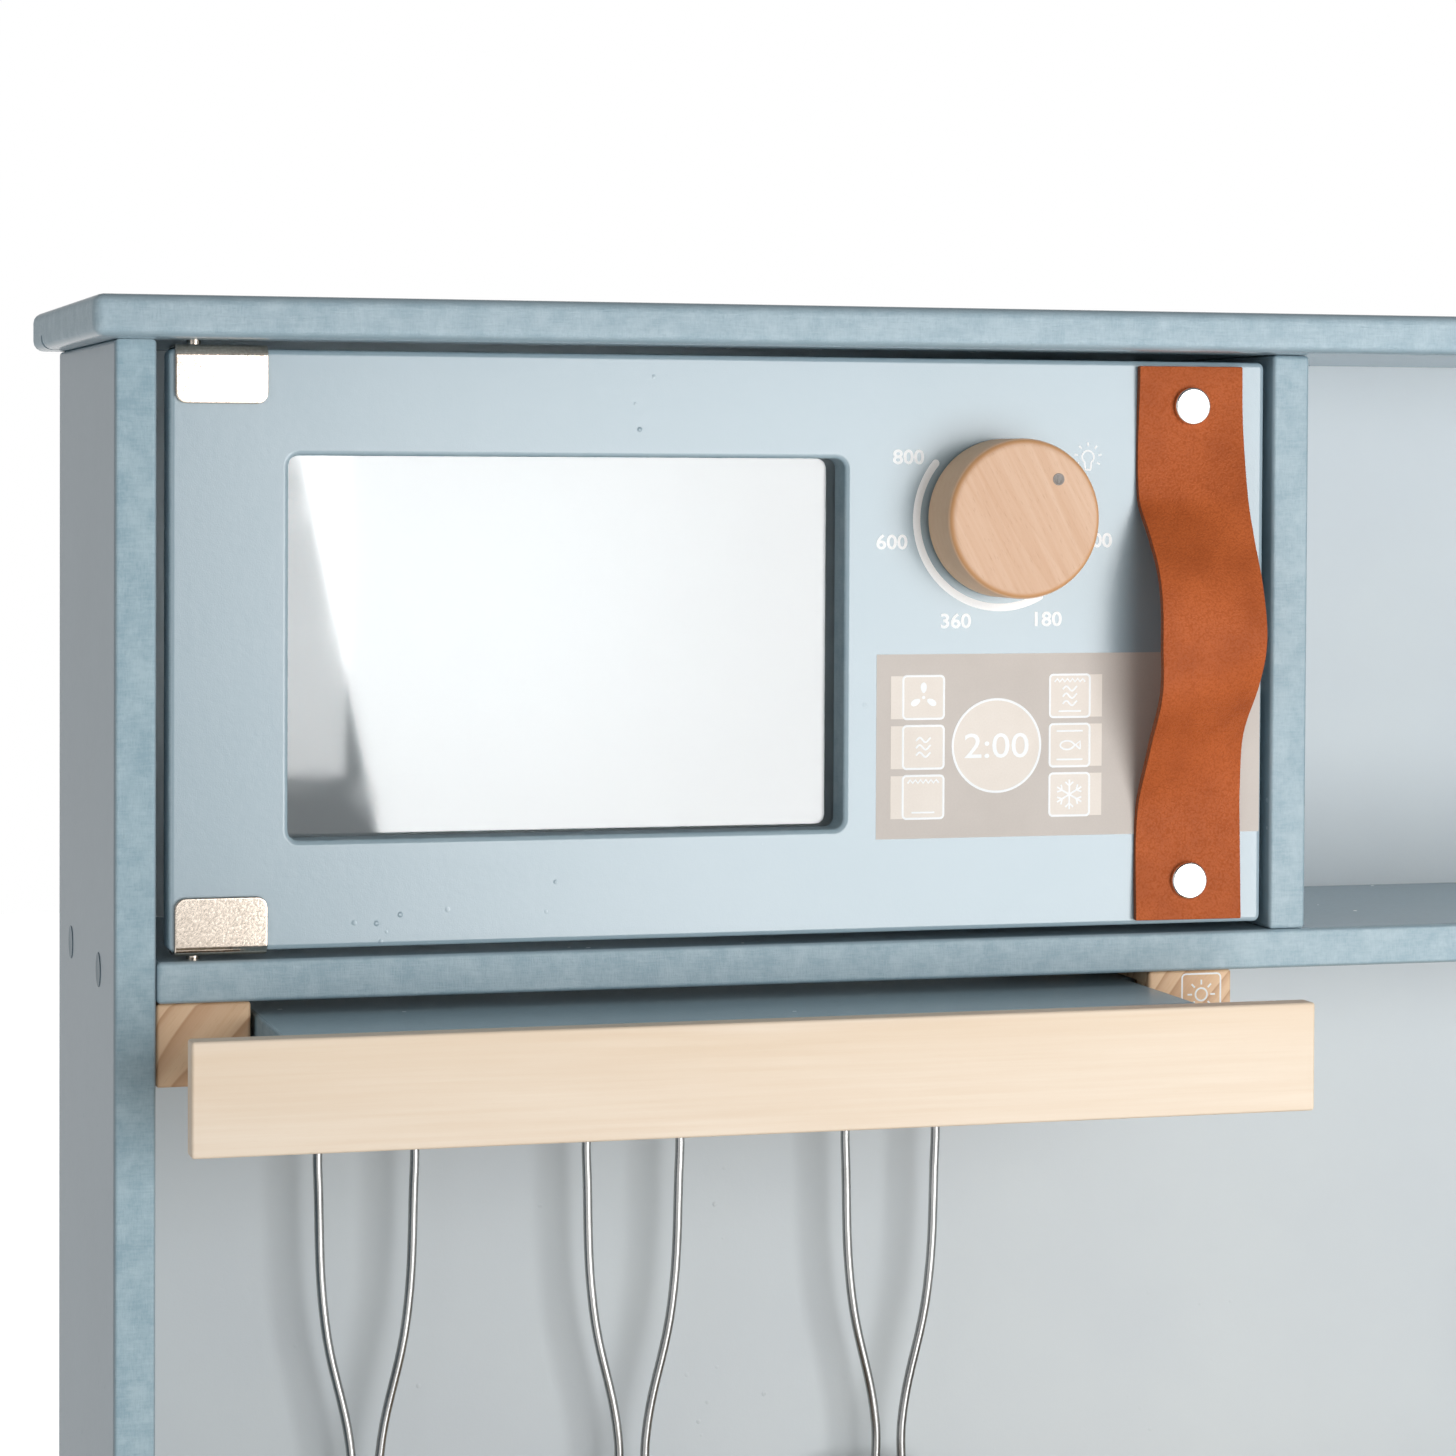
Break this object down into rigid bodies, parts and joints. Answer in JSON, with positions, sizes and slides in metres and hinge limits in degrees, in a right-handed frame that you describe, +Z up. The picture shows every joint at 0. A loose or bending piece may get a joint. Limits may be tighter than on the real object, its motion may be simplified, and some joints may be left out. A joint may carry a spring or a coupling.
{
  "type": "toy kitchen",
  "caption": "Free-standing painted wooden toy kitchen with a microwave, pull-out hood, hanging utensils, hob, sink, oven and cupboard, with leather strap handles on its doors.",
  "frame": {"origin": "centre of the whole kitchen's footprint, on the floor", "axes": "+Z up, +X to the right of someone who faces the doors, the doors face -Y"},
  "size_m": [0.732, 0.3174, 0.95],
  "materials": {
    "blue_paint": "satin paint over fibreboard",
    "pale_paint": "satin pale paint over thin board",
    "natural_worktop": "clear lacquered pine",
    "natural_pine": "bare sanded pine",
    "natural_poplar": "clear lacquered poplar",
    "natural_beech": "waxed beech",
    "tan_leather": "pebbled tan leather with raw edges",
    "nickel": "satin nickel plating",
    "polished_steel": "polished steel",
    "clear_acrylic": "clear acrylic sheet",
    "hob_black": "gloss graphite sheet",
    "white_plastic": "moulded plastic"
  },
  "bodies": {
    "cabinet": {"side_panel_left": "blue_paint", "side_panel_right": "blue_paint", "top_board": "blue_paint", "mid_shelf": "blue_paint", "upper_divider": "blue_paint", "worktop": "natural_worktop", "bottom_board": "blue_paint", "toe_board": "blue_paint", "control_board": "blue_paint", "lower_divider": "blue_paint", "upper_back_panel": "pale_paint", "splash_back_panel": "pale_paint", "lower_back_panel": "pale_paint", "microwave_catch": "white_plastic", "oven_catch": "white_plastic", "cupboard_catch": "white_plastic", "hood_block_left": "natural_pine", "hood_block_right": "natural_pine", "hook_rail": "natural_pine", "hook_left": "polished_steel", "hook_middle": "polished_steel", "hook_right": "polished_steel", "hob_plate": "hob_black", "burner_large": "natural_beech", "burner_small": "natural_beech", "tap_base": "polished_steel", "oven_rack": "polished_steel"},
    "microwave_door": {"microwave_door": "blue_paint", "microwave_window": "clear_acrylic", "microwave_hinge_top": "nickel", "microwave_hinge_bottom": "nickel", "microwave_strap": "tan_leather", "microwave_strap_screw_top": "nickel", "microwave_strap_screw_bottom": "nickel"},
    "microwave_knob": {"microwave_knob": "natural_beech", "microwave_knob_spindle": "polished_steel"},
    "hood": {"hood_slab": "blue_paint", "hood_fascia": "natural_poplar"},
    "ladle": {"ladle": "polished_steel"},
    "slotted_turner": {"slotted_turner": "polished_steel"},
    "turner": {"turner": "polished_steel"},
    "sink_basin": {"sink_basin": "polished_steel"},
    "tap_spout": {"tap_spout": "polished_steel"},
    "tap_lever": {"tap_lever": "polished_steel"},
    "oven_door": {"oven_door": "blue_paint", "oven_window": "clear_acrylic", "oven_hinge_top": "nickel", "oven_hinge_bottom": "nickel", "oven_strap": "tan_leather", "oven_strap_screw_top": "nickel", "oven_strap_screw_bottom": "nickel"},
    "cupboard_door": {"cupboard_door": "blue_paint", "cupboard_hinge_top": "nickel", "cupboard_hinge_bottom": "nickel", "cupboard_strap": "tan_leather", "cupboard_strap_screw_top": "nickel", "cupboard_strap_screw_bottom": "nickel"},
    "oven_knob_left": {"oven_knob_left": "natural_beech"},
    "oven_knob_right": {"oven_knob_right": "natural_beech"}
  },
  "joints": [
    {"name": "microwave_door_swing", "type": "hinge", "parent": "cabinet", "child": "microwave_door", "pos_m": [-0.3348, 0.02175, 0.85], "axis": [0, 0, -1], "range_deg": [0, 105]},
    {"name": "microwave_knob_turn", "type": "hinge", "parent": "microwave_door", "child": "microwave_knob", "pos_m": [-0.0935, -0.00585, 0.888], "axis": [0, -1, 0], "continuous": true},
    {"name": "hood_pull", "type": "slide", "parent": "cabinet", "child": "hood", "axis": [0, -1, 0], "range_m": [-0.042, 0.007]},
    {"name": "ladle_swing", "type": "hinge", "parent": "cabinet", "child": "ladle", "pos_m": [-0.2675, 0.11315, 0.706], "axis": [0, -1, 0], "range_deg": [-12, 12]},
    {"name": "slotted_turner_swing", "type": "hinge", "parent": "cabinet", "child": "slotted_turner", "pos_m": [-0.1815, 0.11315, 0.706], "axis": [0, -1, 0], "range_deg": [-12, 12]},
    {"name": "turner_swing", "type": "hinge", "parent": "cabinet", "child": "turner", "pos_m": [-0.0955, 0.11315, 0.706], "axis": [0, -1, 0], "range_deg": [-12, 12]},
    {"name": "basin_lift", "type": "slide", "parent": "cabinet", "child": "sink_basin", "axis": [0, 0, 1], "range_m": [0, 0.06]},
    {"name": "spout_swivel", "type": "hinge", "parent": "cabinet", "child": "tap_spout", "pos_m": [0.176, 0.10175, 0.5661], "axis": [0, 0, 1], "range_deg": [-70, 70]},
    {"name": "lever_turn", "type": "hinge", "parent": "cabinet", "child": "tap_lever", "pos_m": [0.18915, 0.10175, 0.5401], "axis": [1, 0, 0], "range_deg": [-35, 35]},
    {"name": "oven_door_swing", "type": "hinge", "parent": "cabinet", "child": "oven_door", "pos_m": [-0.3348, -0.12825, 0.25], "axis": [0, 0, -1], "range_deg": [0, 105]},
    {"name": "cupboard_door_swing", "type": "hinge", "parent": "cabinet", "child": "cupboard_door", "pos_m": [0.3348, -0.12825, 0.25], "axis": [0, 0, 1], "range_deg": [0, 105]},
    {"name": "oven_knob_left_turn", "type": "hinge", "parent": "cabinet", "child": "oven_knob_left", "pos_m": [-0.251, -0.15585, 0.458], "axis": [0, -1, 0], "continuous": true},
    {"name": "oven_knob_right_turn", "type": "hinge", "parent": "cabinet", "child": "oven_knob_right", "pos_m": [-0.101, -0.15585, 0.458], "axis": [0, -1, 0], "continuous": true}
  ]
}
